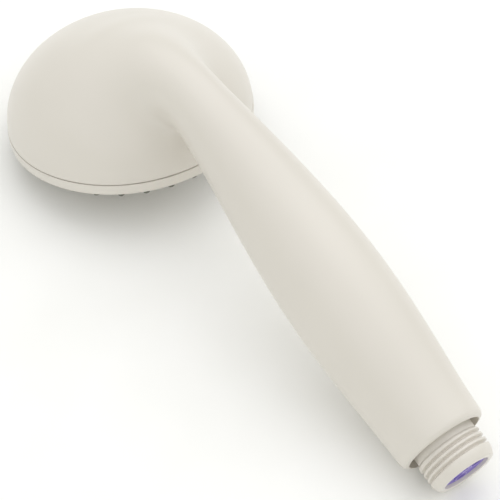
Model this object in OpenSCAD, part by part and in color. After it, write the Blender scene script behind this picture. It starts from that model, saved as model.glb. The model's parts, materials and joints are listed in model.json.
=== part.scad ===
// Handheld shower head: one-piece dome and handle, screw-off spray face,
// G 1/2 inlet with flow regulator and non-return valve.
// Millimetres. The object lies face down: Z = 0 is the surface it rests on,
// +X runs from the head to the hose thread, and Y = 0 is its plane of symmetry.

/* [Head] */
// Diameter of the head at its rim
head_d = 81.8; // [74:0.2:100]
// Height of the dome above the seam with the spray face
dome_h = 30.1; // [26:0.1:36]
// Height of the visible band of the spray face, up to the seam
band_h = 4.5; // [4.2:0.1:5.5]
// Width of the seam groove
seam_gap = 0.4; // [0.2:0.05:0.6]
// Wall of the dome and the handle
wall = 2.0; // [1.8:0.1:2.4]
// Radius over which the neck melts into the dome
blend = 17.8; // [9:0.2:20]

/* [Handle] */
// Reach of the handle, from the rim of the head to the end of the handle
handle_reach = 119.5; // [95:0.5:145]
// Depth of the handle's end below the spray face
handle_drop = 29.4; // [22:0.1:36]
// Slope of the handle's end, from the plane of the spray face
end_slope = 27.3; // [25:0.1:29]
// Rise of the neck's path over the crown
crown_rise = 3.6; // [2.4:0.1:6]
// How far the neck spreads sideways where it meets the crown
flare = 14; // [9:0.5:15]
// Radius of the neck
neck_r = 10.1; // [9.4:0.1:11.5]
// Fullness of the grip: the widest radius follows it
grip_r = 24.5; // [21:0.1:28]
// Radius of the handle's end
end_r = 14.2; // [13.4:0.1:16]
// Rounding of the handle's end
end_round = 1.8; // [0.8:0.1:2]

/* [Inlet] */
// How far the hose thread stands out of the handle
thread_reach = 11; // [10.6:0.1:12]
// Crest radius of the hose thread, G 1/2
thread_r = 10.4775; // [10.4775]
// Pitch of the hose thread, 14 to the inch
thread_pitch = 1.814; // [1.814]
// Bore of the inlet
inlet_bore_r = 7.5; // [7.3:0.1:7.6]
// Depth of the inlet bore
inlet_depth = 20.4; // [20.4:0.1:23]
// How far the flow regulator sits inside the mouth
regulator_recess = 1.4; // [1:0.1:2]
// Travel of the non-return valve's poppet
poppet_travel = 2.4; // [1.5:0.1:2.6]

/* [Water tube] */
// Outside radius of the water tube
tube_r = 5.0; // [4.2:0.1:5.2]
// Wall of the water tube
tube_wall = 1.2; // [1.1:0.1:1.5]

/* [Spray face] */
// Rings of nozzles
nozzle_rings = 4; // [3:1:5]
// Nozzles added with each ring
nozzles_per_ring = 7; // [5:1:7]
// Radius of the smallest ring of nozzles
first_ring_r = 9; // [8.4:0.1:9.4]
// Radius of a rubber nozzle
nozzle_r = 1.4; // [1.2:0.05:1.7]
// Radius of a nozzle's jet hole
jet_r = 0.5; // [0.4:0.05:0.6]
// How far the nozzles stand out of the face
nozzle_reach = 2.9; // [2:0.1:4]
// Thickness of the spray face
face_t = 1.8; // [1.6:0.1:2]
// Thickness of the rubber mat
mat_t = 1.0; // [0.8:0.1:1.2]
// Turns that free the spray face
unscrew_turns = 2; // [2]
// Lead of the spray face's thread
face_lead = 2.5; // [2:0.1:2.5]

/* [Fits] */
// Radial gap between pieces that turn or slide past each other
run_gap = 0.1; // [0.05:0.01:0.1]
// Radial gap round a piece that is only put in place
seat_gap = 0.2; // [0.1:0.05:0.25]

/* [Hidden] */
$fn = 96;

IVORY = [0.88, 0.86, 0.82];
NATURAL = [0.90, 0.90, 0.88];
OLIVE_GREY = [0.40, 0.40, 0.34];
VIOLET = [0.42, 0.36, 0.66];
BLACK_RUBBER = [0.12, 0.12, 0.12];
STEEL = [0.75, 0.75, 0.76];
BLUE = [0.25, 0.45, 0.70];

head_r = head_d / 2;
seam_z = band_h;
crown_z = seam_z + dome_h;

// The path of the handle, in the plane Y = 0, runs from inside the crown to the handle's end.
// Its height and its radius are smooth curves over the distance along X.
root_inset = 23.7;
flare_len = 37;
root_slim = 1.35;
sag_start = 11.6;
sag_end = 0.2;
root_x = head_r - root_inset;
end_x = head_r + handle_reach;
path_len = end_x - root_x;
path_z = [
    crown_z - 0.2, crown_z + crown_rise, seam_z + sag_start, seam_z + sag_end,
    tan(end_slope) * path_len / 5 - handle_drop, -handle_drop
];
path_r = [neck_r - root_slim, neck_r - root_slim, neck_r, grip_r, end_r + 0.3, end_r];

// The skin is drawn as rings of points. Over the dome the rings lie in planes that fan out
// from a line just outside the rim, under the neck. Along the handle they lie across the path.
fan_x = head_r + 1.5;
fan_end_x = head_r + 11.6;
fan_middle_pull = 10;
fan_ease = 0.7;
fan_rings = 36;
handle_rings = 34;
ring_points = 44;
round_steps = 3;
close_in = 15;

// Inlet, in its own frame: Z runs out along the hose thread, from 0 at the handle's end
thread_chamfer = [1.2, 2.3];
thread_grooves = 3;
groove_first = 3.8;
groove_deep = 1.05;
groove_wide = [0.3, 1.05];
neck_from = 2.2;
neck_in = 0.6;
flange = [-5.2, -2.4];
flange_r = end_r - wall - seat_gap / 2;
barrel_r = inlet_bore_r + 2;
socket_floor = thread_reach - inlet_depth;
web_t = 1.8;
socket_depth = 9;
socket_wall = 1.8;

// Water tube, in the inlet's frame
tube_bore_r = tube_r - tube_wall;
tube_fit_r = tube_r + run_gap;
tube_from = socket_floor - web_t - 0.3;
tube_to = -132.5;
cord_r = 0.4;
cord_groove = 0.75;
inlet_ring_z = tube_from - 3;
head_ring_z = [tube_to + 2, tube_to + 5];
spacer_z = -58;
spacer_len = 8;
spacer_reach = 12;
spacer_fin_t = 1.6;

// Regulator and valve, in the inlet's frame
cartridge_r = inlet_bore_r - run_gap;
regulator_top = thread_reach - regulator_recess;
regulator_len = 5.2;
regulator_skin = 1.4;
regulator_wall = 1.1;
regulator_cord_r = 1.2;
eyelets = 3;
eyelet_r = 1.7;
eyelet_rim = 0.55;
eyelet_rise = 0.6;
eyelet_ring_r = 4.1;
valve_top = regulator_top - regulator_len - 0.2;
valve_bottom = socket_floor + 0.2;
valve_wall = 1.5;
valve_bore_r = cartridge_r - valve_wall;
seat_r = 3.9;
seat_t = 1.3;
seat_z = valve_top - seat_t;
valve_ring_z = seat_z - 4;
stem_r = 1.2;
nose_r = seat_r - 0.9;
seal_r = 5.0;
seal_t = 0.8;
disc_low = seat_z - 1.9;
spring_turns = 5;
spring_wire_r = 0.25;
guide_t = 1.8;
spring_room = 2 * spring_wire_r * (spring_turns + 1) + 0.3;
guide_top = disc_low - poppet_travel - spring_room;
guide_hub_r = 2.4;
stem_low = guide_top - guide_t - 0.6;
spring_r = 2.0;
spring_steps = 14;
spring_sides = 8;
spring_low = guide_top + spring_wire_r + 0.05;
spring_high = disc_low - spring_wire_r - 0.05;

// Spray face, in the head's frame: Z = 0 is the face
sleeve_rise = unscrew_turns * face_lead - 1;
sleeve_top = seam_z + sleeve_rise;
sleeve_t = 0.8;
sleeve_r = inside_r(sleeve_top) - seat_gap;
hollow_r = sleeve_r - sleeve_t;
face_round = 1.5;
mat_top = face_t + mat_t;
mat_r = hollow_r - run_gap;
outer_ring_r = mat_r - nozzle_r - 0.05;
nozzle_tip_r = nozzle_r - 0.25;
nozzle_tip_len = 0.7;
jets = [
    for (i = [1:nozzle_rings])
        [i * nozzles_per_ring,
            first_ring_r + (outer_ring_r - first_ring_r) * (i - 1) / (nozzle_rings - 1)]
];
screw_r = 1.55;
screw_head_r = 3.2;
screw_head_z = 0.5;
cap_r = 3.55;
face_boss_r = 4.4;
plate_low = mat_top + 1.8;
plate_high = plate_low + 1.4;
plate_r = hollow_r - seat_gap;
rim_t = 1.3;
hub_r = 3.6;
port_r = 7.0;
port_bore_r = 5.6;
port_top = plate_high + 7.4;
port_ring_z = port_top - 2.2;
gasket_t = 1.2;

// Manifold, in the head's frame
deck_low = sleeve_top + gasket_t + 0.04;
deck_t = 2.0;
deck_r = inside_r(deck_low + deck_t) - 1.5 * seat_gap;
deck_w = 3;
arms = 6;
arm_w = 2.4;
socket_r = port_r + run_gap;
riser_r = socket_r + 1.8;
riser_top = port_top + 13;
elbow_r = tube_r + 1.2;
elbow = [end_x, -handle_drop] + (tube_to - 4) * [cos(end_slope), -sin(end_slope)];
duct_foot = [4, port_top + 8];
duct_len = norm(elbow - duct_foot);
duct_rise = atan2(elbow.y - duct_foot.y, elbow.x - duct_foot.x);

// How the object lies: on its far nozzles and on the end of the hose thread
toe = [-outer_ring_r - nozzle_tip_r, -nozzle_reach];
heels = [
    for (corner = [[thread_reach, thread_r - thread_chamfer.x],
            [thread_reach - thread_chamfer.y, thread_r], [-end_round, end_r]])
        [end_x + corner.x * cos(end_slope) - corner.y * sin(end_slope),
            -handle_drop - corner.x * sin(end_slope) - corner.y * cos(end_slope)]
];
lean = max([for (heel = heels) atan2(toe.y - heel.y, heel.x - toe.x)]);
head_end = -seam_z * sin(lean) - norm([head_r * cos(lean), dome_h * sin(lean)]);
thread_end = (end_x + thread_reach * cos(end_slope)) * cos(lean)
    + (handle_drop + thread_reach * sin(end_slope)) * sin(lean)
    + (thread_r - thread_chamfer.x) * sin(end_slope - lean);
rest_shift = [
    -(head_end + thread_end) / 2, 0, -(toe.x * sin(lean) + toe.y * cos(lean))
];

// Inside radius of the dome at a height above the face
function inside_r(z) =
    (head_r - wall) * sqrt(1 - pow((z - seam_z) / (dome_h - wall), 2));

function curve(c, t) = let (s = 1 - t)
    pow(s, 5) * c[0] + 5 * pow(s, 4) * t * c[1] + 10 * pow(s, 3) * t * t * c[2]
    + 10 * s * s * pow(t, 3) * c[3] + 5 * s * pow(t, 4) * c[4] + pow(t, 5) * c[5];

function curve_rate(c, t) = let (s = 1 - t)
    5 * (pow(s, 4) * (c[1] - c[0]) + 4 * pow(s, 3) * t * (c[2] - c[1])
    + 6 * s * s * t * t * (c[3] - c[2]) + 4 * s * pow(t, 3) * (c[4] - c[3])
    + pow(t, 4) * (c[5] - c[4]));

// What the flare adds to the path's radius, and takes from its height, at a share of the path
function spread(t) = flare * pow(max(1 - t * path_len / flare_len, 0), 3);

function path_x(t) = root_x + path_len * t;

function path_height(t) = curve(path_z, t) - spread(t);

function path_radius(t) = curve(path_r, t) + spread(t);

function path_rise(t) = curve_rate(path_z, t)
    + 3 * flare * path_len / flare_len * pow(max(1 - t * path_len / flare_len, 0), 2);

// The share of the path that lies nearest to a point, closed in on in a few steps
function nearest(p, t, steps) = steps == 0 ? min(max(t, 0), 1.1) :
    let (
        dz = path_rise(t),
        along = (path_x(t) - p.x) * path_len + (path_height(t) - p.z) * dz
    )
    nearest(p, min(max(t - along / (path_len * path_len + dz * dz), 0), 1.1), steps - 1);

// Distances from a point to the dome and to the handle, each drawn in by a wall
function dome_gap(p, inset) =
    let (
        a = head_r - inset,
        c = dome_h - inset,
        q = [p.x / a, p.y / a, (p.z - seam_z) / c],
        k = norm(q)
    )
    k * (k - 1) / max(norm([q.x / a, q.y / a, q.z / c]), 0.0001);

function handle_gap(p, inset) =
    let (t = nearest(p, (p.x - root_x) / path_len, 4))
    norm([p.x - path_x(t), p.y, p.z - path_height(t)]) - path_radius(t) + inset;

function skin_gap(p, inset) =
    let (
        a = dome_gap(p, inset),
        b = handle_gap(p, inset),
        h = max(blend - abs(a - b), 0) / blend
    )
    min(a, b) - h * h * h * blend / 6;

// Distance from a point inside the skin to the skin, along a direction
function reach(from, dir, inset, low, high, steps) =
    let (mid = (low + high) / 2)
    steps == 0 ? mid :
    skin_gap(from + mid * dir, inset) > 0 ? reach(from, dir, inset, low, mid, steps - 1)
    : reach(from, dir, inset, mid, high, steps - 1);

fan_end_t = (fan_end_x - root_x) / path_len;
fan_end_angle = atan2(path_height(fan_end_t) - seam_z, fan_end_x - fan_x);

function fan_ring(angle) =
    let (
        dir = [cos(angle), 0, sin(angle)],
        edge = [fan_x, 0, seam_z],
        far = head_r * 2 + 3,
        guess = fan_middle(angle),
        near_wall = guess - reach(edge + guess * dir, -dir, 0, 0, guess, close_in),
        far_wall = guess + reach(edge + guess * dir, dir, 0, 0, far - guess, close_in)
    )
    [edge + dir * (near_wall + far_wall) / 2, dir];

// A distance along a fan plane that is always inside the dome or the neck
function fan_middle(angle) =
    let (share = (180 - angle) / (180 - fan_end_angle))
    fan_x * (1 - share) * (1 - share) + 2 * fan_middle_pull * share * (1 - share)
    + norm([fan_end_x - fan_x, path_height(fan_end_t) - seam_z]) * share * share;

function handle_ring(t) =
    let (slope = atan2(path_rise(t), path_len))
    [[path_x(t), 0, path_height(t)], [-sin(slope), 0, cos(slope)]];

function ring(frame, inset, size) = [
    for (j = [0:ring_points - 1])
        let (
            angle = 360 * j / ring_points,
            dir = cos(angle) * frame[1] + [0, sin(angle), 0]
        )
        frame[0] + dir * reach(frame[0], dir, inset, 0, size, close_in)
];

function skin(inset) = [
    for (i = [0:fan_rings - 1])
        let (share = fan_ease * i / fan_rings + (1 - fan_ease) * pow(i / fan_rings, 2))
        ring(fan_ring(180 - (180 - fan_end_angle) * share), inset, head_r + 6),
    for (i = [0:handle_rings - 1])
        ring(handle_ring(fan_end_t + (1 - end_round / path_len - fan_end_t) * i / handle_rings),
            inset, head_r)
];

function rounded_end() = [
    for (i = [0:round_steps])
        let (angle = 90 * i / round_steps)
        ring(handle_ring(1 - (1 - sin(angle)) * end_round / path_len),
            (1 - cos(angle)) * end_round, head_r)
];

module body_shell() {
    inner = skin(wall);
    loops = concat(
        skin(0),
        rounded_end(),
        [ring(handle_ring(1), wall, head_r)],
        [for (i = [len(inner) - 1:-1:0]) inner[i]]
    );
    n = len(loops);
    m = ring_points;
    color(IVORY) laid_down()
        polyhedron(
            [for (loop = loops) for (p = loop) p],
            [
                for (i = [0:n - 1]) for (j = [0:m - 1])
                    let (
                        a = i * m + j,
                        b = i * m + (j + 1) % m,
                        c = ((i + 1) % n) * m + (j + 1) % m,
                        d = ((i + 1) % n) * m + j
                    )
                    each [[a, b, c], [a, c, d]]
            ]
        );
}

// Lays the head's frame down on the surface
module laid_down() {
    translate(rest_shift) rotate([0, -lean, 0]) children();
}

// Turns Z from the head's axis to the hose thread's, with 0 at the handle's end
module along_inlet() {
    translate([end_x, 0, -handle_drop]) rotate([0, 90 + end_slope, 0]) children();
}

module at_inlet() {
    laid_down() along_inlet() children();
}

module tube(outer, inner, bottom, top) {
    difference() {
        translate([0, 0, bottom]) cylinder(r = outer, h = top - bottom);
        translate([0, 0, bottom - 1]) cylinder(r = inner, h = top - bottom + 2);
    }
}

// A rubber ring whose outside is at radius, and the groove that holds it
module o_ring(radius, cord, z) {
    color(BLACK_RUBBER) translate([0, 0, z]) rotate_extrude()
        translate([radius - cord - 0.02, 0]) circle(r = cord, $fn = 32);
}

module o_ring_groove(radius, deep, cord, z) {
    tube(radius + 1, radius - deep, z - cord - 0.1, z + cord + 0.1);
}

module round_about(count, radius) {
    for (i = [0:count - 1]) rotate([0, 0, 360 * i / count]) translate([radius, 0, 0]) children();
}

module spokes(count, from, to, width, bottom, height) {
    for (i = [0:count - 1]) rotate([0, 0, 360 * i / count])
        translate([from, -width / 2, bottom]) cube([to - from, width, height]);
}

// ---- Inlet and water tube ----

// The hose thread is drawn as rings of the same depth and pitch
function inlet_outline() = concat(
    [
        [inlet_bore_r, thread_reach], [thread_r - thread_chamfer.x, thread_reach],
        [thread_r, thread_reach - thread_chamfer.y]
    ],
    [
        for (i = [0:thread_grooves - 1])
            let (z = thread_reach - groove_first - i * thread_pitch)
            each [
                [thread_r, z + groove_wide[1] / 2], [thread_r - groove_deep, z + groove_wide[0] / 2],
                [thread_r - groove_deep, z - groove_wide[0] / 2], [thread_r, z - groove_wide[1] / 2]
            ]
    ],
    [
        [thread_r, neck_from], [thread_r - neck_in, neck_from - neck_in],
        [thread_r - neck_in, flange[1]], [flange_r, flange[1]], [flange_r, flange[0]],
        [barrel_r, flange[0]], [barrel_r, socket_floor],
        [tube_fit_r + socket_wall, socket_floor - web_t],
        [tube_fit_r + socket_wall, socket_floor - web_t - socket_depth],
        [tube_fit_r, socket_floor - web_t - socket_depth], [tube_fit_r, socket_floor - web_t],
        [tube_bore_r, socket_floor - web_t], [tube_bore_r, socket_floor],
        [inlet_bore_r, socket_floor]
    ]
);

module inlet_spigot() {
    color(IVORY) at_inlet() rotate_extrude() polygon(inlet_outline());
}

module water_tube() {
    color(NATURAL) at_inlet() difference() {
        tube(tube_r, tube_bore_r, tube_to, tube_from);
        for (z = concat([inlet_ring_z], head_ring_z)) o_ring_groove(tube_r, cord_groove, cord_r, z);
    }
}

module inlet_o_ring() {
    at_inlet() o_ring(tube_fit_r, cord_r, inlet_ring_z);
}

module head_o_rings() {
    at_inlet() for (z = head_ring_z) o_ring(tube_fit_r, cord_r, z);
}

// Collar with fins that keeps the water tube from rattling in the grip
module tube_spacer() {
    color(NATURAL) at_inlet() difference() {
        union() {
            translate([0, 0, spacer_z]) cylinder(r = tube_fit_r + 1.5, h = spacer_len);
            spokes(3, 0, spacer_reach, spacer_fin_t, spacer_z, spacer_len);
        }
        translate([0, 0, spacer_z - 1]) cylinder(r = tube_r + 0.05, h = spacer_len + 2);
    }
}

// ---- Flow regulator and non-return valve, in the inlet ----

module regulator_body() {
    color(VIOLET) at_inlet() difference() {
        union() {
            translate([0, 0, regulator_top - regulator_len]) cylinder(r = cartridge_r, h = regulator_len);
            translate([0, 0, regulator_top]) round_about(eyelets, eyelet_ring_r)
                cylinder(r = eyelet_r + eyelet_rim, h = eyelet_rise, $fn = 48);
            translate([0, 0, regulator_top]) cylinder(r = stem_r, h = eyelet_rise, $fn = 48);
        }
        translate([0, 0, regulator_top - regulator_len - 1])
            cylinder(r = cartridge_r - regulator_wall, h = regulator_len + 1 - regulator_skin);
        round_about(eyelets, eyelet_ring_r) translate([0, 0, regulator_top - regulator_skin - 1])
            cylinder(r = eyelet_r, h = regulator_skin + 3, $fn = 48);
    }
}

// The rubber ring that swells into the passage as the pressure rises
module regulator_ring() {
    at_inlet() o_ring(cartridge_r - regulator_wall, regulator_cord_r,
        regulator_top - regulator_skin - regulator_cord_r - 0.02);
}

module valve_housing() {
    color(BLUE) at_inlet() difference() {
        union() {
            tube(cartridge_r, valve_bore_r, valve_bottom, valve_top);
            tube(cartridge_r - 0.5, seat_r, seat_z, valve_top);
        }
        o_ring_groove(cartridge_r, cord_groove, cord_r, valve_ring_z);
        translate([0, 0, guide_top - guide_t - 0.1]) cylinder(r = valve_bore_r + 0.35, h = guide_t + 0.2);
    }
}

module valve_o_ring() {
    at_inlet() o_ring(inlet_bore_r, cord_r, valve_ring_z);
}

// Nose, disc and stem; the nose stands in the seat
module valve_poppet() {
    color(NATURAL) at_inlet() rotate_extrude() polygon([
        [0, seat_z + 0.9], [nose_r / 2, seat_z + 0.9], [nose_r, seat_z - 0.05],
        [nose_r, seat_z - 0.05 - seal_t], [seal_r - 0.2, seat_z - 0.05 - seal_t],
        [seal_r - 0.2, disc_low], [stem_r, disc_low], [stem_r, stem_low], [0, stem_low]
    ]);
}

module valve_seal() {
    color(BLACK_RUBBER) at_inlet() tube(seal_r, nose_r + 0.05, seat_z - 0.04 - seal_t, seat_z - 0.02);
}

module valve_guide() {
    color(NATURAL) at_inlet() difference() {
        union() {
            tube(valve_bore_r + 0.3, valve_bore_r - 0.9, guide_top - guide_t, guide_top);
            translate([0, 0, guide_top - guide_t]) cylinder(r = guide_hub_r, h = guide_t);
            spokes(3, 0, valve_bore_r - 0.5, 1.2, guide_top - guide_t + 0.2, guide_t - 0.4);
        }
        translate([0, 0, guide_top - guide_t - 1]) cylinder(r = stem_r + run_gap, h = guide_t + 2);
    }
}

function spring_point(turn, side) =
    let (
        out = spring_r + spring_wire_r * cos(side),
        z = spring_low + (spring_high - spring_low) * turn / spring_turns
    )
    [out * cos(360 * turn), out * sin(360 * turn), z + spring_wire_r * sin(side)];

module valve_spring() {
    n = spring_turns * spring_steps;
    m = spring_sides;
    color(STEEL) at_inlet() polyhedron(
        [for (i = [0:n]) for (j = [0:m - 1]) spring_point(i / spring_steps, 360 * j / m)],
        concat(
            [[for (j = [m - 1:-1:0]) j]],
            [
                for (i = [0:n - 1]) for (j = [0:m - 1])
                    [i * m + j, i * m + (j + 1) % m, (i + 1) * m + (j + 1) % m, (i + 1) * m + j]
            ],
            [[for (j = [0:m - 1]) n * m + j]]
        )
    );
}

// ---- Spray face ----

module at_jets() {
    for (jet = jets) round_about(jet[0], jet[1]) children();
}

// Face, band and the sleeve that screws into the dome, drawn without its thread
module spray_face() {
    color(IVORY) laid_down() difference() {
        rotate_extrude() polygon(concat(
            [[0, 0]],
            [
                for (i = [0:6]) let (a = 15 * i - 90)
                    [head_r - face_round + face_round * cos(a), face_round + face_round * sin(a)]
            ],
            [
                [head_r, seam_z - seam_gap], [sleeve_r, seam_z - seam_gap], [sleeve_r, sleeve_top],
                [hollow_r, sleeve_top], [hollow_r, face_t], [face_boss_r, face_t],
                [face_boss_r, mat_top], [0, mat_top]
            ]
        ));
        at_jets() translate([0, 0, -1]) cylinder(r = nozzle_r + 0.05, h = face_t + 2, $fn = 32);
        translate([0, 0, -1]) cylinder(r = cap_r + 0.05, h = face_t + 1);
        translate([0, 0, -1]) cylinder(r = screw_r + 0.05, h = mat_top + 2);
    }
}

module nozzle_mat() {
    color(OLIVE_GREY) laid_down() difference() {
        union() {
            tube(mat_r, face_boss_r + 0.2, face_t, mat_top);
            at_jets() rotate_extrude($fn = 32) polygon([
                [0, face_t + 0.2], [nozzle_r, face_t + 0.2],
                [nozzle_r, nozzle_tip_len - nozzle_reach], [nozzle_tip_r, -nozzle_reach],
                [0, -nozzle_reach]
            ]);
        }
        at_jets() translate([0, 0, -nozzle_reach - 1])
            cylinder(r = jet_r, h = nozzle_reach + mat_top + 2, $fn = 24);
    }
}

// Presses the mat down, spreads the water over it and carries the port
module distributor() {
    color(NATURAL) laid_down() difference() {
        union() {
            tube(plate_r, plate_r - rim_t, mat_top, plate_high);
            tube(plate_r - rim_t / 2, port_bore_r, plate_low, plate_high);
            tube(port_r, port_bore_r, plate_low, port_top);
            translate([0, 0, mat_top]) cylinder(r = hub_r, h = plate_high + 3 - mat_top);
            spokes(3, 0, port_bore_r + 0.5, 1.4, plate_low, plate_high - plate_low);
        }
        translate([0, 0, mat_top - 1]) cylinder(r = screw_r + 0.02, h = plate_high + 3 - mat_top);
        o_ring_groove(port_r, cord_groove, cord_r, port_ring_z);
    }
}

module distributor_o_ring() {
    laid_down() o_ring(socket_r, cord_r, port_ring_z);
}

module face_gasket() {
    color(BLACK_RUBBER) laid_down()
        tube(sleeve_r - 0.35, hollow_r - 1, sleeve_top + 0.02, sleeve_top + 0.02 + gasket_t);
}

module centre_screw() {
    color(STEEL) laid_down() difference() {
        union() {
            translate([0, 0, screw_head_z]) cylinder(r = screw_head_r, h = face_t - screw_head_z);
            translate([0, 0, face_t - 0.5]) cylinder(r = screw_r, h = plate_high + 2 - face_t);
        }
        for (turn = [0, 90]) rotate([0, 0, turn]) translate([-2, -0.4, 0]) cube([4, 0.8, 1.1]);
    }
}

module screw_cap() {
    color(IVORY) laid_down() union() {
        translate([0, 0, 0.05]) cylinder(r = cap_r, h = 0.4);
        translate([0, 0, -0.15]) cylinder(r = cap_r - 0.3, h = 0.5);
    }
}

// ---- Manifold, inside the dome ----

module along_duct(radius) {
    translate([duct_foot.x, 0, duct_foot.y]) rotate([0, 90 - duct_rise, 0])
        cylinder(r = radius, h = duct_len);
}

module along_tube(radius, from, to) {
    along_inlet() translate([0, 0, from]) cylinder(r = radius, h = to - from);
}

// Ring and arms inside the dome, the riser for the port and the duct to the water tube
module manifold() {
    color(NATURAL) laid_down() difference() {
        union() {
            tube(deck_r, deck_r - deck_w, deck_low, deck_low + deck_t);
            spokes(arms, riser_r - 1, deck_r - deck_w / 2, arm_w, deck_low, deck_t);
            translate([0, 0, deck_low]) cylinder(r = riser_r, h = riser_top - deck_low);
            along_duct(tube_r);
            translate([elbow.x, 0, elbow.y]) sphere(r = elbow_r);
            along_tube(elbow_r - 0.3, tube_to - 4, tube_to + 7.5);
        }
        translate([0, 0, deck_low - 1]) cylinder(r = socket_r, h = port_top + 2.4 - deck_low);
        translate([0, 0, deck_low]) cylinder(r = port_bore_r - 0.8, h = riser_top - 2 - deck_low);
        along_duct(tube_bore_r);
        translate([elbow.x, 0, elbow.y]) sphere(r = tube_bore_r + 0.2);
        along_tube(tube_bore_r - 0.1, tube_to - 4, tube_to);
        along_tube(tube_fit_r, tube_to - 0.4, tube_to + 9);
    }
}

body_shell();
inlet_spigot();
water_tube();
inlet_o_ring();
head_o_rings();
tube_spacer();
manifold();
spray_face();
nozzle_mat();
distributor();
distributor_o_ring();
face_gasket();
centre_screw();
screw_cap();
regulator_body();
regulator_ring();
valve_housing();
valve_o_ring();
valve_poppet();
valve_seal();
valve_guide();
valve_spring();
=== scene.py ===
"""Looks of a handheld shower head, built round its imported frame. Sizes in the classes are millimetres."""

import json
import logging
import math
from dataclasses import dataclass, field
from enum import Enum
from typing import Callable, Iterable, Sequence

import bmesh
import bpy
from mathutils import Matrix, Vector


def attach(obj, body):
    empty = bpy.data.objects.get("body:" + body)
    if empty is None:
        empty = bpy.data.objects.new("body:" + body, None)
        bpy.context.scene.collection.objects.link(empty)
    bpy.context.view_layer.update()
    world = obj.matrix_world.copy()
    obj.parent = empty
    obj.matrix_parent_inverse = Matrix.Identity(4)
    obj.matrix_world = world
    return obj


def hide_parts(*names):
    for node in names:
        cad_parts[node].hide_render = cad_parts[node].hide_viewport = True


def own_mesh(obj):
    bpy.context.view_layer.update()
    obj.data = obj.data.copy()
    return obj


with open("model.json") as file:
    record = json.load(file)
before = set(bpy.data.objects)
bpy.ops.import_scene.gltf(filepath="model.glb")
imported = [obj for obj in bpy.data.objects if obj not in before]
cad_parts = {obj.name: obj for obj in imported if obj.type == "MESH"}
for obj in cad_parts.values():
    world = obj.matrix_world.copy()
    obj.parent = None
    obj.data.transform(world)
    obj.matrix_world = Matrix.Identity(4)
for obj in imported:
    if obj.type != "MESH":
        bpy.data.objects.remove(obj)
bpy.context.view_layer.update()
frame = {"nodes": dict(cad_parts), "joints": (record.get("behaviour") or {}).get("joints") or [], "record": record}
MM = 0.001
LOG = logging.getLogger("shower_head")
Outline = list[tuple[float, float]]


class Body(Enum):
    """The rigid bodies of the frame."""

    HANDSET = "handset"
    GASKET = "gasket"
    FACE = "face"
    POPPET = "poppet"


class Slot(Enum):
    """The record's material slots."""

    IVORY = "ivory"
    NATURAL = "natural"
    OLIVE = "olive_rubber"
    VIOLET = "violet"
    BLACK = "black_rubber"
    STEEL = "steel"
    BLUE = "blue"


class Light(Enum):
    """The lights' parts in the studio."""

    KEY = "key"
    FILL = "fill"
    BACK = "back"


# ---- Places, read from the frame ----


def turned(origin: Vector, axis: Vector) -> Matrix:
    """Makes the frame of a round part that stands in the plane Y = 0.

    Args:
        origin: The point that the part's own zero lies at.
        axis: The direction of the part's own Z.

    Returns:
        The matrix from the part's own coordinates to the object's.
    """
    side = Vector((0, 1, 0)).cross(axis).normalized()
    columns = (side, Vector((0, 1, 0)), axis.normalized())
    turn = Matrix([[c[i] for c in columns] for i in range(3)])
    return Matrix.Translation(origin) @ turn.to_4x4()


def head_place() -> Matrix:
    """Returns the place of the head: Z runs up the dome, from 0 at the spray face."""
    joint = next(j for j in frame["joints"] if j["name"] == "face_unscrew")
    return turned(Vector(joint["pos_m"]), Vector(joint["axis"]))


def inlet_place() -> Matrix:
    """Returns the place of the inlet: Z runs out along the hose thread, from 0 at the handle's end."""
    mount = next(m for m in frame["record"]["mounts"] if m["name"] == "hose_thread")
    axis = Vector(mount["axis"]).normalized()
    start = Vector(mount["pos_m"])
    end = max(v.co.dot(axis) for v in frame["nodes"]["body_shell"].data.vertices)
    return turned(start + (end - start.dot(axis)) * axis, axis)


HEAD = head_place()
INLET = inlet_place()


def local_points(node: str, place: Matrix) -> list[Vector]:
    """Gives a frame node's points in a part's own coordinates, in millimetres.

    Args:
        node: The node's name.
        place: The part's place.

    Returns:
        The points.
    """
    back = place.inverted()
    return [back @ v.co / MM for v in frame["nodes"][node].data.vertices]


def radius_of(node: str, place: Matrix) -> float:
    """Gives the largest distance of a node from its own axis.

    Args:
        node: The node's name.
        place: The part's place.

    Returns:
        The radius, in millimetres.
    """
    return max(math.hypot(p.x, p.y) for p in local_points(node, place))


def span_of(node: str, place: Matrix) -> tuple[float, float]:
    """Gives a node's lowest and highest place along its own axis.

    Args:
        node: The node's name.
        place: The part's place.

    Returns:
        The two heights, in millimetres.
    """
    heights = [p.z for p in local_points(node, place)]
    return min(heights), max(heights)


# ---- Finishes ----


def srgb(code: str) -> tuple[float, float, float, float]:
    """Turns a hex colour into Blender's linear one.

    Args:
        code: Six hex digits.

    Returns:
        Red, green, blue and 1.
    """
    parts = [int(code[i:i + 2], 16) / 255 for i in (0, 2, 4)]
    linear = [p / 12.92 if p <= 0.04045 else ((p + 0.055) / 1.055) ** 2.4 for p in parts]
    return (*linear, 1.0)


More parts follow.
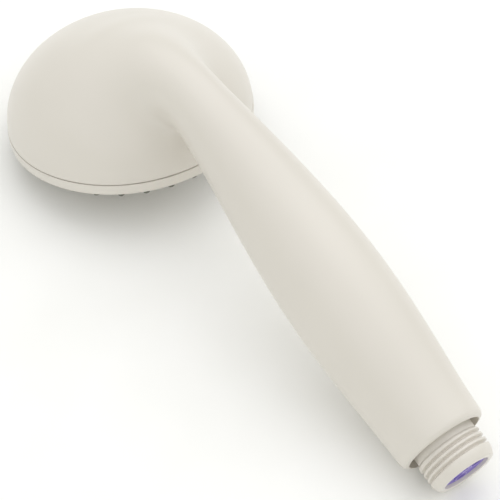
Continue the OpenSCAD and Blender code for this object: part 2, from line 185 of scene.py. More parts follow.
class Shader:
    """A material's node tree and the coordinates that its patterns use."""

    def __init__(self, name: str) -> None:
        """Starts an empty material.

        Args:
            name: The material's name.
        """
        self.material = bpy.data.materials.new(name)
        self.material.use_nodes = True
        self.tree = self.material.node_tree
        self.surface = self.tree.nodes["Principled BSDF"]
        self.coordinates = self.add("ShaderNodeTexCoord")

    def add(self, kind: str, **values: object) -> bpy.types.Node:
        """Adds a node.

        Args:
            kind: The node's type.
            values: Its sockets' and properties' values, with _ for a space in a socket's name.

        Returns:
            The node.
        """
        node = self.tree.nodes.new(kind)
        for key, value in values.items():
            if hasattr(node, key):
                setattr(node, key, value)
            else:
                node.inputs[key.replace("_", " ")].default_value = value
        return node

    def link(self, source: bpy.types.Node, output: str, target: bpy.types.Node, socket: str) -> None:
        """Links an output to a socket.

        Args:
            source: The node that gives the value.
            output: The name of its output.
            target: The node that takes the value.
            socket: The name of its input.
        """
        self.tree.links.new(source.outputs[output], target.inputs[socket])

    def noise(self, size: float, detail: float, stretch: Sequence[float] = (1, 1, 1)) -> bpy.types.Node:
        """Adds a noise of a real size.

        Args:
            size: The size of its features, in millimetres.
            detail: How many finer layers it has.
            stretch: Its length along X, Y and Z, times the size.

        Returns:
            The noise node.
        """
        scale = tuple(1000 / s for s in stretch)
        mapping = self.add("ShaderNodeMapping", Scale=scale)
        self.link(self.coordinates, "Object", mapping, "Vector")
        noise = self.add("ShaderNodeTexNoise", Scale=1 / size, Detail=detail, Roughness=0.55)
        self.link(mapping, "Vector", noise, "Vector")
        return noise

    def ramp(self, source: bpy.types.Node, low: Sequence[float], high: Sequence[float],
             start: float = 0.35, end: float = 0.65) -> bpy.types.Node:
        """Turns a noise into two mixed colours.

        Args:
            source: The noise.
            low: The colour of its low places.
            high: The colour of its high places.
            start: The value up to which the low colour holds.
            end: The value from which the high colour holds.

        Returns:
            The ramp node.
        """
        ramp = self.add("ShaderNodeValToRGB")
        ramp.color_ramp.elements[0].color = low
        ramp.color_ramp.elements[0].position = start
        ramp.color_ramp.elements[1].color = high
        ramp.color_ramp.elements[1].position = end
        self.link(source, "Fac", ramp, "Fac")
        return ramp

    def spread(self, source: bpy.types.Node, low: float, high: float) -> bpy.types.Node:
        """Maps a noise to a range of values.

        Args:
            source: The noise.
            low: The value of its low places.
            high: The value of its high places.

        Returns:
            The range node.
        """
        spread = self.add("ShaderNodeMapRange", From_Min=0.3, From_Max=0.7, To_Min=low, To_Max=high)
        self.link(source, "Fac", spread, "Value")
        return spread

    def bump(self, layers: Iterable[tuple[bpy.types.Node, float]]) -> None:
        """Gives the surface small relief.

        Args:
            layers: Noises, each with its height in millimetres.
        """
        last = None
        for noise, height in layers:
            bump = self.add("ShaderNodeBump", Strength=1.0, Distance=height * MM)
            self.link(noise, "Fac", bump, "Height")
            if last is not None:
                self.link(last, "Normal", bump, "Normal")
            last = bump
        self.link(last, "Normal", self.surface, "Normal")

    def set(self, **values: object) -> None:
        """Sets the surface's own constants.

        Args:
            values: The sockets' values, with _ for a space in a socket's name.
        """
        for key, value in values.items():
            self.surface.inputs[key.replace("_", " ")].default_value = value


@dataclass(frozen=True)
class MouldedPlastic:
    """Injection-moulded plastic: an even colour with faint flow marks and a skin that isn't quite flat."""

    name: str
    colour: str
    shade: str
    roughness: tuple[float, float]
    ior: float = 1.53
    peel: float = 0.012
    grain: float = 0.0015
    glow: float = 0.0
    glow_depth: float = 1.5

    def material(self) -> bpy.types.Material:
        """Returns the material: colour drifts over centimetres, gloss over millimetres."""
        shader = Shader(self.name)
        drift = shader.noise(38, 2, (1.6, 1, 1))
        tint = shader.ramp(drift, srgb(self.shade), srgb(self.colour))
        shader.link(tint, "Color", shader.surface, "Base Color")
        haze = shader.noise(6, 5)
        gloss = shader.spread(haze, *self.roughness)
        shader.link(gloss, "Result", shader.surface, "Roughness")
        shader.bump([(shader.noise(7, 2), self.peel), (shader.noise(0.35, 3), self.grain)])
        shader.set(IOR=self.ior)
        if self.glow:
            shader.set(Subsurface_Weight=self.glow, Subsurface_Scale=self.glow_depth * MM)
            shader.set(Subsurface_Radius=(1.0, 0.8, 0.55))
        return shader.material


@dataclass(frozen=True)
class SoftRubber:
    """Moulded elastomer: dull, with a fine grain and paler dusty places."""

    name: str
    colour: str
    dust: str
    roughness: tuple[float, float] = (0.48, 0.68)
    grain: float = 0.006

    def material(self) -> bpy.types.Material:
        """Returns the material: a fine grain that catches a broad, weak highlight."""
        shader = Shader(self.name)
        dust = shader.noise(2.6, 6)
        tint = shader.ramp(dust, srgb(self.colour), srgb(self.dust), 0.45, 0.8)
        shader.link(tint, "Color", shader.surface, "Base Color")
        gloss = shader.spread(shader.noise(0.9, 4), *self.roughness)
        shader.link(gloss, "Result", shader.surface, "Roughness")
        shader.bump([(shader.noise(0.25, 4), self.grain)])
        shader.set(IOR=1.5, Sheen_Weight=0.15, Sheen_Roughness=0.5)
        return shader.material


@dataclass(frozen=True)
class DrawnSteel:
    """Stainless wire or a turned screw: bright, with fine lines and a few dull spots."""

    name: str
    colour: str
    shade: str
    roughness: tuple[float, float] = (0.29, 0.42)
    line_w: float = 0.3
    line_deep: float = 0.002

    def material(self) -> bpy.types.Material:
        """Returns the material: narrow streaks in gloss and height on a metal surface."""
        shader = Shader(self.name)
        streaks = shader.noise(self.line_w, 4, (6, 1, 1))
        tint = shader.ramp(shader.noise(1.8, 4), srgb(self.shade), srgb(self.colour))
        shader.link(tint, "Color", shader.surface, "Base Color")
        gloss = shader.spread(streaks, *self.roughness)
        shader.link(gloss, "Result", shader.surface, "Roughness")
        shader.bump([(streaks, self.line_deep)])
        shader.set(Metallic=1.0)
        return shader.material


@dataclass(frozen=True)
class PaintedBoard:
    """The studio's pale sweep: matt, with a barely visible mottle."""

    name: str = "pale_matt_board"
    colour: str = "FCFCFB"
    shade: str = "F8F8F6"

    def material(self) -> bpy.types.Material:
        """Returns the material: matt paint with a soft mottle."""
        shader = Shader(self.name)
        tint = shader.ramp(shader.noise(60, 3), srgb(self.shade), srgb(self.colour))
        shader.link(tint, "Color", shader.surface, "Base Color")
        gloss = shader.spread(shader.noise(3, 3), 0.75, 0.9)
        shader.link(gloss, "Result", shader.surface, "Roughness")
        shader.bump([(shader.noise(0.8, 3), 0.01)])
        return shader.material


FINISHES = {
    # Injection-moulded ABS from a polished tool: pale, warm and softly glossy
    Slot.IVORY: MouldedPlastic("ivory_abs_gloss", "DDD8D0", "DAD5CD", (0.3, 0.34), peel=0.004),
    # Unpigmented acetal: milky, with light that goes a little way in
    Slot.NATURAL: MouldedPlastic("natural_acetal", "ECEBE3", "E2E1D8", (0.35, 0.5), 1.48, glow=0.3),
    # Moulded elastomer: dull olive grey, with a fine grain
    Slot.OLIVE: SoftRubber("olive_grey_elastomer", "55564A", "7A7B6C"),
    # Pigmented acetal: violet, with a waxy shine
    Slot.VIOLET: MouldedPlastic("violet_acetal", "8C7CC4", "6A58A6", (0.3, 0.45), 1.48, glow=0.1),
    # Nitrile rings: black, with a broad weak highlight
    Slot.BLACK: SoftRubber("black_nitrile_rubber", "1B1B1B", "303030"),
    # Stainless wire and a turned screw: bright, with lines along them
    Slot.STEEL: DrawnSteel("drawn_stainless_steel", "D6D7DA", "AEB0B4"),
    # Pigmented acetal: blue, with a waxy shine
    Slot.BLUE: MouldedPlastic("blue_acetal", "4E78B4", "3C639C", (0.28, 0.42), 1.48),
}
MATERIALS = {slot: finish.material() for slot, finish in FINISHES.items()}


# ---- Mesh work ----


def arc(centre: tuple[float, float], radius: float, start: float, end: float, steps: int = 6) -> Outline:
    """Draws a round stretch of an outline.

    Args:
        centre: The arc's centre, as distance from the axis and height.
        radius: Its radius.
        start: Its first angle, in degrees from straight out.
        end: Its last angle.
        steps: How many pieces it has.

    Returns:
        The arc's points.
    """
    angles = [math.radians(start + (end - start) * i / steps) for i in range(steps + 1)]
    return [(centre[0] + radius * math.cos(a), centre[1] + radius * math.sin(a)) for a in angles]


def eased(corners: Sequence[tuple[float, float, float]], steps: int = 4) -> Outline:
    """Rounds the corners of a closed outline.

    Args:
        corners: Distance from the axis, height and rounding of each corner.
        steps: How many pieces a rounding has.

    Returns:
        The outline.
    """
    points: Outline = []
    count = len(corners)
    for i, (x, z, radius) in enumerate(corners):
        here = Vector((x, z))
        if radius <= 0:
            points.append((x, z))
            continue
        back = Vector(corners[i - 1][:2]) - here
        ahead = Vector(corners[(i + 1) % count][:2]) - here
        cut = min(radius, back.length * 0.49, ahead.length * 0.49)
        first, last = here + back.normalized() * cut, here + ahead.normalized() * cut
        for k in range(steps + 1):
            t = k / steps
            p = first * (1 - t) ** 2 + here * 2 * t * (1 - t) + last * t ** 2
            points.append((p.x, p.y))
    return points


def finer(outline: Outline, low: float, high: float, step: float, radius: float) -> Outline:
    """Adds points along the steep outer stretch of an outline, where a thread is cut.

    Args:
        outline: The closed outline.
        low: The lowest height of the stretch.
        high: Its highest.
        step: The distance between points.
        radius: The stretch's distance from the axis.

    Returns:
        The outline with the points added.
    """
    result: Outline = []
    for i, (x, z) in enumerate(outline):
        result.append((x, z))
        x2, z2 = outline[(i + 1) % len(outline)]
        if abs(x - radius) < 0.01 and abs(x2 - radius) < 0.01 and min(z, z2) < high and max(z, z2) > low:
            count = max(1, round(abs(z2 - z) / step))
            result += [(x + (x2 - x) * k / count, z + (z2 - z) * k / count) for k in range(1, count)]
    return result


WELD = 1e-7
SLIVER = 1e-8
ON_AXIS = 1e-9


def lathe(outline: Outline, steps: int = 96) -> bmesh.types.BMesh:
    """Turns a closed outline round Z.

    Args:
        outline: Distance from the axis and height of each point, in millimetres.
        steps: How many flats the turn has.

    Returns:
        The closed mesh, in metres.
    """
    bm = bmesh.new()
    verts = [bm.verts.new((x * MM, 0, z * MM)) for x, z in outline]
    edges = [bm.edges.new((verts[i], verts[(i + 1) % len(verts)])) for i in range(len(verts))]
    on_axis = [e for e in edges if all(abs(v.co.x) < ON_AXIS for v in e.verts)]
    spun = verts + [e for e in edges if e not in on_axis]
    bmesh.ops.delete(bm, geom=on_axis, context="EDGES_FACES")
    spun = [g for g in spun if g.is_valid]
    bmesh.ops.spin(bm, geom=spun, cent=(0, 0, 0), axis=(0, 0, 1), angle=math.tau, steps=steps,
                   use_merge=True)
    bmesh.ops.remove_doubles(bm, verts=bm.verts, dist=WELD)
    bmesh.ops.dissolve_degenerate(bm, edges=bm.edges, dist=SLIVER)
    bmesh.ops.recalc_face_normals(bm, faces=bm.faces)
    return bm


def to_piece(bm: bmesh.types.BMesh, name: str, place: Matrix, sharp: float = 32) -> bpy.types.Object:
    """Makes an object of a finished mesh, at its place in the frame.

    Args:
        bm: The mesh, which is freed.
        name: The piece's name.
        place: The part's place.
        sharp: The angle in degrees from which an edge stays sharp.

    Returns:
        The object, at the origin and unturned.
    """
    mesh = bpy.data.meshes.new(name)
    bm.to_mesh(mesh)
    bm.free()
    mesh.transform(place)
    mesh.shade_smooth()
    mesh.set_sharp_from_angle(angle=math.radians(sharp))
    piece = bpy.data.objects.new(name, mesh)
    bpy.context.scene.collection.objects.link(piece)
    return piece


def baked(piece: bpy.types.Object) -> bpy.types.Object:
    """Applies a piece's modifiers.

    Args:
        piece: The object.

    Returns:
        The same object, with the result as its mesh.
    """
    bpy.context.view_layer.update()
    graph = bpy.context.evaluated_depsgraph_get()
    mesh = bpy.data.meshes.new_from_object(piece.evaluated_get(graph))
    piece.modifiers.clear()
    piece.data = mesh
    return piece


def cut_away(piece: bpy.types.Object, cutter: bpy.types.Object, sharp: float = 32) -> None:
    """Cuts one mesh out of another.

    Args:
        piece: The object that is cut.
        cutter: The object that is taken away, which is removed.
        sharp: The angle in degrees from which an edge stays sharp.
    """
    modifier = piece.modifiers.new("cut", "BOOLEAN")
    modifier.operation = "DIFFERENCE"
    modifier.solver = "EXACT"
    modifier.object = cutter
    baked(piece)
    bpy.data.objects.remove(cutter)
    piece.data.shade_smooth()
    piece.data.set_sharp_from_angle(angle=math.radians(sharp))


def repeated(bm: bmesh.types.BMesh, places: Iterable[Matrix]) -> bmesh.types.BMesh:
    """Copies a mesh to many places.

    Args:
        bm: The mesh, which is freed.
        places: The copies' places.

    Returns:
        One mesh with all the copies.
    """
    one = bpy.data.meshes.new("one")
    bm.to_mesh(one)
    bm.free()
    many = bmesh.new()
    for place in places:
        copy = one.copy()
        copy.transform(place)
        many.from_mesh(copy)
        bpy.data.meshes.remove(copy)
    bpy.data.meshes.remove(one)
    return many


def joined(piece: bpy.types.Object, others: Sequence[bpy.types.Object]) -> bpy.types.Object:
    """Adds other meshes to a piece.

    Args:
        piece: The object that stays.
        others: The objects whose meshes it takes, which are removed.

    Returns:
        The same object.
    """
    bm = bmesh.new()
    bm.from_mesh(piece.data)
    for other in others:
        bm.from_mesh(other.data)
        bpy.data.objects.remove(other)
    bm.to_mesh(piece.data)
    bm.free()
    return piece


def screw_cut(bm: bmesh.types.BMesh, inside: Callable[[Vector], bool],
              depth: Callable[[float, float], float]) -> None:
    """Moves a round stretch in or out along a helix.

    Args:
        bm: The mesh, round Z and in metres.
        inside: Whether a point, in millimetres, lies in the stretch.
        depth: The radial move in millimetres at a height and a turn, from 0 to 1.
    """
    for vert in bm.verts:
        point = vert.co / MM
        if not inside(point):
            continue
        radius = math.hypot(point.x, point.y)
        move = depth(point.z, math.atan2(point.y, point.x) / math.tau % 1)
        vert.co.x *= (radius + move) / radius
        vert.co.y *= (radius + move) / radius


def finish_piece(piece: bpy.types.Object, body: Body, slot: Slot, *nodes: str) -> bpy.types.Object:
    """Gives a new piece its finish, attaches it to its body and hides the frame nodes that it stands for.

    Args:
        piece: The object.
        body: The body that it moves with.
        slot: The record's slot that its finish comes from.
        nodes: The frame nodes that it stands for.

    Returns:
        The same object.
    """
    piece.data.materials.clear()
    piece.data.materials.append(MATERIALS[slot])
    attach(piece, body.value)
    if nodes:
        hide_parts(*nodes)
    LOG.info("%s: %d faces, %s", piece.name, len(piece.data.polygons), slot.value)
    return piece


def dress_node(node: str, slot: Slot) -> None:
    """Gives a frame node its finish.

    Args:
        node: The node's name.
        slot: The record's slot.
    """
    target = frame["nodes"][node]
    target.data.materials.clear()
    target.data.materials.append(MATERIALS[slot])
    LOG.info("%s: frame node, %s", node, slot.value)


def dress_nodes(finishes: dict[str, Slot]) -> None:
    """Gives several frame nodes their finishes.

    Args:
        finishes: Each node's slot.
    """
    for node, slot in finishes.items():
        dress_node(node, slot)


# ---- Handset ----


@dataclass
class HandsetShell:
    """The dome and the handle, moulded as one shell."""

    rim_angle: float = 40
    rim_crease: float = 0.75
    smooth_levels: int = 1
    weld: float = 0.002

    def diagonals(self, bm: bmesh.types.BMesh) -> list[bmesh.types.BMEdge]:
        """Finds the edges that split the shell's grid of four-sided faces into triangles.

        Args:
            bm: The merged shell, a grid of rings in which six edges meet at every point.

        Returns:
            The edges.
        """
        family: dict[bmesh.types.BMEdge, int] = dict(zip(bm.faces[0].edges, range(3)))
        waiting = [bm.faces[0]]
        seen = set(waiting)
        while waiting:
            face = waiting.pop()
            for shared in face.edges:
                beyond = next(f for f in shared.link_faces if f is not face)
                if beyond in seen:
                    continue
                for edge in beyond.edges:
                    if edge is not shared:
                        end = next(v for v in edge.verts if v in shared.verts)
                        facing = next(e for e in face.edges if end not in e.verts)
                        family[edge] = family[facing]
                seen.add(beyond)
                waiting.append(beyond)
        rims = [family[e] for e in bm.edges if e.calc_face_angle() > math.radians(self.rim_angle)]
        rings = max(range(3), key=rims.count)
        lengths = {k: sum(e.calc_length() for e in bm.edges if family[e] == k) for k in range(3)}
        longest = max((k for k in range(3) if k != rings), key=lengths.get)
        return [e for e in bm.edges if family[e] == longest]

    def skin(self) -> bpy.types.Object:
        """Smooths the frame's shell into the moulded skin.

        Returns:
            The skin, inside and outside in one closed mesh.
        """
        shell = frame["nodes"]["body_shell"].data.copy()
        if shell.attributes.get("custom_normal"):
            shell.attributes.remove(shell.attributes["custom_normal"])
        bm = bmesh.new()
        bm.from_mesh(shell)
        bpy.data.meshes.remove(shell)
        bmesh.ops.remove_doubles(bm, verts=bm.verts, dist=self.weld * MM)
        bm.faces.ensure_lookup_table()
        bmesh.ops.dissolve_edges(bm, edges=self.diagonals(bm), use_verts=False)
        crease = bm.edges.layers.float.new("crease_edge")
        for edge in bm.edges:
            if len(edge.link_faces) == 2 and edge.calc_face_angle() > math.radians(self.rim_angle):
                edge[crease] = self.rim_crease
        piece = to_piece(bm, "shell_skin", Matrix.Identity(4))
        smooth = piece.modifiers.new("smooth", "SUBSURF")
        smooth.levels = smooth.render_levels = self.smooth_levels
        baked(piece)
        piece.data.shade_smooth()
        piece.data.set_sharp_from_angle(angle=math.radians(self.rim_angle))
        return piece

    def dress(self) -> None:
        """Builds the skin and gives it its finish."""
        finish_piece(self.skin(), Body.HANDSET, Slot.IVORY, "body_shell")


@dataclass
class HoseInlet:
    """The spigot with the hose thread, which closes the handle's end. Its axis is the inlet's."""

    thread_r: float = 10.4775
    pitch: float = 1.814
    turns: float = 3.0
    first_groove: float = 7.98
    groove_deep: float = 1.05
    groove_half: float = 0.56
    groove_flat: float = 0.1
    fade_turns: float = 0.3
    chamfer: tuple[float, float] = (1.2, 2.3)
    neck_from: float = 2.2
    neck_in: float = 0.6
    flange: tuple[float, float] = (-5.2, -2.4)
    barrel_r: float = 9.5
    bore_r: float = 7.5
    bore_floor: float = -9.4
    socket_top: float = -11.2
    socket_r: tuple[float, float] = (5.1, 6.9)
    tube_bore_r: float = 3.8
    step: float = 0.09
    flats: int = 144

    def outline(self) -> Outline:
        """Draws the spigot's section, with points close together where the thread is cut."""
        low, top = span_of("inlet_spigot", INLET)
        flange_r = radius_of("inlet_spigot", INLET)
        corners = [
            (self.bore_r, top, 0.35), (self.thread_r - self.chamfer[0], top, 0.7),
            (self.thread_r, top - self.chamfer[1], 0.9), (self.thread_r, self.neck_from, 0.25),
            (self.thread_r - self.neck_in, self.neck_from - self.neck_in, 0.2),
            (self.thread_r - self.neck_in, self.flange[1], 0.3), (flange_r, self.flange[1], 0.2),
            (flange_r, self.flange[0], 0.2), (self.barrel_r, self.flange[0], 0.3),
            (self.barrel_r, self.bore_floor, 0.3), (self.socket_r[1], self.socket_top, 0.3),
            (self.socket_r[1], low, 0.3), (self.socket_r[0], low, 0.3),
            (self.socket_r[0], self.socket_top, 0.1), (self.tube_bore_r, self.socket_top, 0.2),
            (self.tube_bore_r, self.bore_floor, 0.2), (self.bore_r, self.bore_floor, 0.2),
        ]
        return finer(eased(corners, 6), self.neck_from, top, self.step, self.thread_r)

    def groove(self, z: float, turn: float) -> float:
        """Gives the thread's depth, for a right-hand thread that fades in and out.

        Args:
            z: The height on the inlet's axis.
            turn: The share of a turn round it.

        Returns:
            The radial move, 0 or less.
        """
        turn = 1 - turn
        along = (self.first_groove - z) / self.pitch
        here = min(max(round(along - turn) + turn, 0), self.turns)
        off = abs(along - here) * self.pitch
        share = min(max((self.groove_half - off) / (self.groove_half - self.groove_flat), 0), 1)
        fade = min(here, self.turns - here) / self.fade_turns
        fade = min(max(fade, 0), 1)
        return -self.groove_deep * share ** 0.8 * fade * fade * (3 - 2 * fade)

    def spigot(self) -> bpy.types.Object:
        """Turns the spigot and cuts its thread.

        Returns:
            The spigot.
        """
        bm = lathe(self.outline(), self.flats)
        screw_cut(bm, lambda p: abs(math.hypot(p.x, p.y) - self.thread_r) < 0.01, self.groove)
        return to_piece(bm, "threaded_inlet", INLET, 38)

    def dress(self) -> None:
        """Builds the spigot and gives it its finish."""
        finish_piece(self.spigot(), Body.HANDSET, Slot.IVORY, "inlet_spigot")


@dataclass
class WaterWay:
    """The tube, the manifold and their rings, all inside the shell."""

    def dress(self) -> None:
        """Gives the frame's own solids their finishes."""
        dress_nodes({
            "manifold": Slot.NATURAL, "water_tube": Slot.NATURAL, "tube_spacer": Slot.NATURAL,
            "inlet_o_ring": Slot.BLACK, "head_o_rings": Slot.BLACK,
        })


# ---- Regulator and valve ----


@dataclass
class FlowRegulator:
    """The violet cap in the mouth of the inlet, with its ring of rubber."""

    wall: float = 1.1
    skin: float = 1.4
    rim_w: float = 0.7
    rim_h: float = 0.35
    eyelets: int = 3
    eyelet_ring_r: float = 4.1
    eyelet_r: float = 1.7
    eyelet_w: float = 0.55
    eyelet_h: float = 0.6
    stud_r: float = 1.2

    def places(self, height: float) -> list[Matrix]:
        """Gives the eyelets' places.

        Args:
            height: Their height on the inlet's axis.

        Returns:
            One matrix each, in metres.
        """
        out = Matrix.Translation((self.eyelet_ring_r * MM, 0, height * MM))
        return [Matrix.Rotation(math.tau * i / self.eyelets, 4, "Z") @ out for i in range(self.eyelets)]

    def cap(self) -> bpy.types.Object:
        """Turns the cap, drills its passages and adds their raised rims.

        Returns:
            The cap.
        """
        low, high = span_of("regulator_body", INLET)
        top = high - self.eyelet_h
        radius = radius_of("regulator_body", INLET)
        cup = lathe(eased([
            (0, top, 0), (radius - self.rim_w - 0.2, top, 0.15),
            (radius - self.rim_w, top + self.rim_h, 0.15),
            (radius, top + self.rim_h, 0.2), (radius, low, 0.2), (radius - self.wall, low, 0.2),
            (radius - self.wall, top - self.skin, 0.3), (0, top - self.skin, 0),
        ]))
        piece = to_piece(cup, "regulator_cap", INLET)
        drill = lathe([(0, 1), (self.eyelet_r, 1), (self.eyelet_r, -3), (0, -3)], 48)
        cut_away(piece, to_piece(repeated(drill, self.places(top)), "drill", INLET))
        rim = lathe(eased([
            (self.eyelet_r - 0.02, -0.3, 0), (self.eyelet_r + self.eyelet_w, -0.3, 0),
            (self.eyelet_r + self.eyelet_w, self.eyelet_h, 0.25), (self.eyelet_r - 0.02, self.eyelet_h, 0.25),
        ]), 48)
        stud = lathe(eased([
            (0, self.eyelet_h, 0), (self.stud_r, self.eyelet_h, 0.35), (self.stud_r, -0.3, 0), (0, -0.3, 0),
        ]), 48)
        return joined(piece, [
            to_piece(repeated(rim, self.places(top)), "rims", INLET),
            to_piece(repeated(stud, [Matrix.Translation((0, 0, top * MM))]), "stud", INLET),
        ])

    def dress(self) -> None:
        """Builds the cap and gives the regulator its finishes."""
        finish_piece(self.cap(), Body.HANDSET, Slot.VIOLET, "regulator_body")
        dress_nodes({"regulator_ring": Slot.BLACK})


@dataclass
class ReturnValve:
    """The non-return valve behind the regulator."""

    wire_r: float = 0.25
    turns: float = 5.0
    coil_r: float = 2.0
    coil_steps: int = 28
    wire_sides: int = 12
    travel: float = 2.4

    def spring(self) -> bpy.types.Object:
        """Winds the spring by turning a wire's round section up a helix.

        Returns:
            The spring.
        """
        low, high = span_of("valve_spring", INLET)
        rise = high - low - 2 * self.wire_r
        bm = bmesh.new()
        tilt = Matrix.Translation((self.coil_r * MM, 0, (low + self.wire_r) * MM))
        bmesh.ops.create_circle(bm, cap_ends=True, segments=self.wire_sides, radius=self.wire_r * MM,
                                matrix=tilt @ Matrix.Rotation(math.pi / 2, 4, "X"))
        steps = round(self.turns * self.coil_steps)
        bmesh.ops.spin(bm, geom=bm.verts[:] + bm.edges[:] + bm.faces[:], cent=(0, 0, 0), axis=(0, 0, 1),
                       dvec=(0, 0, rise * MM / steps), angle=math.tau * self.turns, steps=steps)
        bmesh.ops.holes_fill(bm, edges=bm.edges)
        bmesh.ops.recalc_face_normals(bm, faces=bm.faces)
        return to_piece(bm, "coil_spring", INLET, 60)

    def dress(self) -> None:
        """Builds the spring on a mesh of its own and gives the valve its finishes."""
        spring = finish_piece(self.spring(), Body.HANDSET, Slot.STEEL, "valve_spring")
        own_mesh(spring)
        dress_nodes({
            "valve_housing": Slot.BLUE, "valve_o_ring": Slot.BLACK, "valve_poppet": Slot.NATURAL,
            "valve_seal": Slot.BLACK, "valve_guide": Slot.NATURAL,
        })


# ---- Spray face ----


@dataclass
class SprayFace:
    """The screw-off face with its rubber nozzles. Its axis is the head's."""

    face_round: float = 1.5
    band_top: float = 4.1
    sleeve_t: float = 0.8
    face_t: float = 1.8
    mat_top: float = 2.8
    boss_r: float = 4.4
    rings: int = 4
    per_ring: int = 7
    first_ring_r: float = 9.0
    nozzle_r: float = 1.4
    nozzle_taper: float = 0.25
    nozzle_tip: float = 0.7
    rim_inset: float = 0.05
    jet_r: float = 0.5
    jet_deep: float = 1.5
    hole_gap: float = 0.05
    hole_flare: tuple[float, float] = (0.85, 0.35)
    cap_r: float = 3.55
    screw_r: float = 1.6

    def sites(self) -> list[Matrix]:
        """Gives the places of the nozzles: rings round the face, each with seven more than the last.

        Returns:
            One matrix each, in metres.
        """
        outer = radius_of("nozzle_mat", HEAD) - self.nozzle_r - self.rim_inset
        sites = []
        for ring in range(self.rings):
            radius = self.first_ring_r + (outer - self.first_ring_r) * ring / (self.rings - 1)
            count = (ring + 1) * self.per_ring
            sites += [Matrix.Rotation(math.tau * i / count, 4, "Z")
                      @ Matrix.Translation((radius * MM, 0, 0)) for i in range(count)]
        return sites

    def plate(self) -> bpy.types.Object:
        """Turns the face, its band and its sleeve, and cuts the holes of the nozzles and the screw.

        Returns:
            The face.
        """
        rim_r = radius_of("spray_face", HEAD)
        top = span_of("spray_face", HEAD)[1]
        sleeve_r = max(math.hypot(p.x, p.y) for p in local_points("spray_face", HEAD) if p.z > top - 0.1)
        edge = arc((rim_r - self.face_round, self.face_round), self.face_round, -90, 0, 10)
        upper = eased([
            (rim_r, self.face_round, 0), (rim_r, self.band_top, 0.25), (sleeve_r, self.band_top, 0.1),
            (sleeve_r, top, 0.2), (sleeve_r - self.sleeve_t, top, 0.2),
            (sleeve_r - self.sleeve_t, self.face_t, 0.2), (self.boss_r, self.face_t, 0.1),
            (self.boss_r, self.mat_top, 0.2), (0, self.mat_top, 0),
        ])
        piece = to_piece(lathe([(0, 0)] + edge + upper[1:], 192), "face_plate", HEAD)
        hole_r = self.nozzle_r + self.hole_gap
        flare_r = hole_r + self.hole_flare[0]
        hole = lathe([(0, -0.5), (flare_r, -0.5), (hole_r, self.hole_flare[1]), (hole_r, self.face_t + 1),
                      (0, self.face_t + 1)], 24)
        cut_away(piece, to_piece(repeated(hole, self.sites()), "holes", HEAD))
        seat_r = self.cap_r + self.hole_gap
        seat = lathe([(0, -1), (seat_r, -1), (seat_r, self.face_t), (self.screw_r, self.face_t),
                      (self.screw_r, self.mat_top + 1), (0, self.mat_top + 1)], 64)
        cut_away(piece, to_piece(seat, "seat", HEAD))
        return piece

    def rubber(self) -> bpy.types.Object:
        """Makes the rubber mat and its nozzles, each with a rounded tip and a jet hole.

        Returns:
            The mat.
        """
        low = span_of("nozzle_mat", HEAD)[0]
        mat_r = radius_of("nozzle_mat", HEAD)
        mat = lathe(eased([
            (self.boss_r + 0.2, self.mat_top, 0.15), (mat_r, self.mat_top, 0.15), (mat_r, self.face_t, 0.15),
            (self.boss_r + 0.2, self.face_t, 0.15),
        ]), 128)
        tip_r = self.nozzle_r - self.nozzle_taper
        nozzle = lathe(eased([
            (0, self.face_t + 0.2, 0), (self.nozzle_r, self.face_t + 0.2, 0),
            (self.nozzle_r, low + self.nozzle_tip, 0.5), (tip_r, low, 0.45), (self.jet_r + 0.18, low, 0.12),
            (self.jet_r, low + 0.2, 0.05), (self.jet_r, low + self.jet_deep, 0),
            (0, low + self.jet_deep, 0),
        ], 3), 24)
        piece = to_piece(mat, "nozzle_rubber", HEAD)
        return joined(piece, [to_piece(repeated(nozzle, self.sites()), "nozzles", HEAD, 50)])

    def cap(self) -> bpy.types.Object:
        """Turns the snap-in cap over the screw, faintly domed with a rounded edge.

        Returns:
            The cap.
        """
        low, top = span_of("screw_cap", HEAD)
        dome = [(self.cap_r * 0.85 * i / 6, low + 0.1 * (i / 6) ** 2) for i in range(7)]
        body = eased([
            (self.cap_r * 0.85, low + 0.1, 0), (self.cap_r, low + 0.25, 0.15), (self.cap_r, top, 0.1),
            (0, top, 0),
        ])
        return to_piece(lathe(dome + body[1:], 64), "cap_disc", HEAD)

    def dress(self) -> None:
        """Builds the face's visible pieces and gives all of it its finishes."""
        finish_piece(self.plate(), Body.FACE, Slot.IVORY, "spray_face")
        finish_piece(self.rubber(), Body.FACE, Slot.OLIVE, "nozzle_mat")
        finish_piece(self.cap(), Body.FACE, Slot.IVORY, "screw_cap")
        dress_nodes({
            "distributor": Slot.NATURAL, "distributor_o_ring": Slot.BLACK, "face_gasket": Slot.BLACK,
            "centre_screw": Slot.STEEL,
        })


# ---- Studio ----


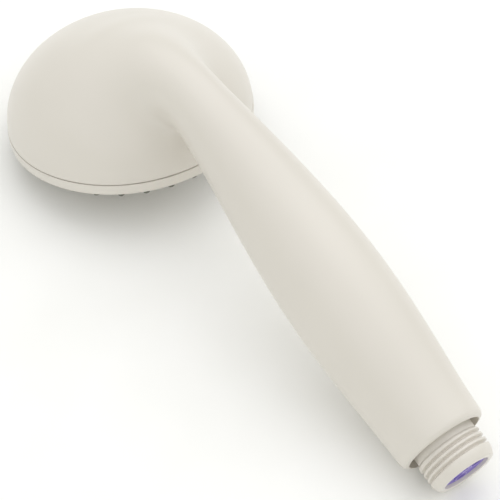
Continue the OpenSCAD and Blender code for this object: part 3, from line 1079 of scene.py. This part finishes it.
@dataclass
class Studio:
    """The pale floor, the soft lights and the camera. Places are metres and angles degrees."""

    floor_half: float = 3.0
    aim: tuple[float, float, float] = (0.0085, -0.0064, 0.02)
    azimuth: float = -53.2
    elevation: float = 48.41
    roll: float = 1.55
    distance: float = 0.6137
    lens: float = 144.0
    sensor: float = 36.0
    sky: tuple[str, str] = ("D6D8CC", "FFFFFF")
    sky_strength: float = 0.95
    sky_rise: tuple[float, float] = (0.05, 0.75)
    powers: dict[Light, float] = field(default_factory=lambda: {
        Light.KEY: 6.0, Light.FILL: 1.0, Light.BACK: 3.0,
    })
    places: dict[Light, tuple[float, float, float]] = field(default_factory=lambda: {
        Light.KEY: (-0.7, 0.5, 1.4), Light.FILL: (0.9, -0.8, 0.9), Light.BACK: (0.3, 0.9, 1.3),
    })
    sizes: dict[Light, float] = field(default_factory=lambda: {
        Light.KEY: 2.2, Light.FILL: 1.8, Light.BACK: 2.0,
    })

    def floor(self) -> None:
        """Lays a wide pale floor under the object."""
        bm = bmesh.new()
        bmesh.ops.create_grid(bm, x_segments=8, y_segments=8, size=self.floor_half)
        floor = to_piece(bm, "floor", Matrix.Identity(4))
        floor.data.materials.append(PaintedBoard().material())

    def world(self) -> None:
        """Fills the room with soft light, a little dimmer and greener at the horizon."""
        world = bpy.data.worlds.new("soft_room")
        world.use_nodes = True
        nodes, links = world.node_tree.nodes, world.node_tree.links
        background = nodes["Background"]
        coordinates = nodes.new("ShaderNodeTexCoord")
        split = nodes.new("ShaderNodeSeparateXYZ")
        ramp = nodes.new("ShaderNodeValToRGB")
        ramp.color_ramp.elements[0].color = srgb(self.sky[0])
        ramp.color_ramp.elements[0].position = self.sky_rise[0]
        ramp.color_ramp.elements[1].color = srgb(self.sky[1])
        ramp.color_ramp.elements[1].position = self.sky_rise[1]
        links.new(coordinates.outputs["Generated"], split.inputs["Vector"])
        links.new(split.outputs["Z"], ramp.inputs["Fac"])
        links.new(ramp.outputs["Color"], background.inputs["Color"])
        background.inputs["Strength"].default_value = self.sky_strength
        bpy.context.scene.world = world

    def lights(self) -> None:
        """Hangs the soft boxes, each turned to the object."""
        for light, power in self.powers.items():
            lamp = bpy.data.lights.new(light.value, "AREA")
            lamp.shape = "DISK"
            lamp.size = self.sizes[light]
            lamp.energy = power
            holder = bpy.data.objects.new(light.value, lamp)
            holder.location = self.places[light]
            way = Vector(self.aim) - holder.location
            holder.rotation_euler = way.to_track_quat("-Z", "Y").to_euler()
            bpy.context.scene.collection.objects.link(holder)

    def camera(self) -> None:
        """Stands the camera at its angle and distance from the aim."""
        azimuth, elevation = math.radians(self.azimuth), math.radians(self.elevation)
        back = Vector((math.sin(-azimuth) * math.cos(elevation), -math.cos(azimuth) * math.cos(elevation),
                       math.sin(elevation)))
        data = bpy.data.cameras.new("camera")
        data.lens, data.sensor_width = self.lens, self.sensor
        camera = bpy.data.objects.new("camera", data)
        turn = back.to_track_quat("Z", "Y").to_matrix().to_4x4()
        place = Matrix.Translation(Vector(self.aim) + back * self.distance)
        camera.matrix_world = place @ turn @ Matrix.Rotation(math.radians(self.roll), 4, "Z")
        bpy.context.scene.collection.objects.link(camera)
        bpy.context.scene.camera = camera

    def build(self) -> None:
        """Sets the whole studio up."""
        self.floor()
        self.world()
        self.lights()
        self.camera()
        view = bpy.context.scene.view_settings
        view.view_transform = "Standard"
        view.look = "None"


def main() -> None:
    """Builds the studio and each sub-assembly in turn."""
    logging.basicConfig(level=logging.INFO, format="%(name)s %(message)s")
    Studio().build()
    for assembly in (HandsetShell(), HoseInlet(), WaterWay(), FlowRegulator(), ReturnValve(), SprayFace()):
        LOG.info("%s", type(assembly).__name__)
        assembly.dress()


if __name__ == "__main__":
    main()
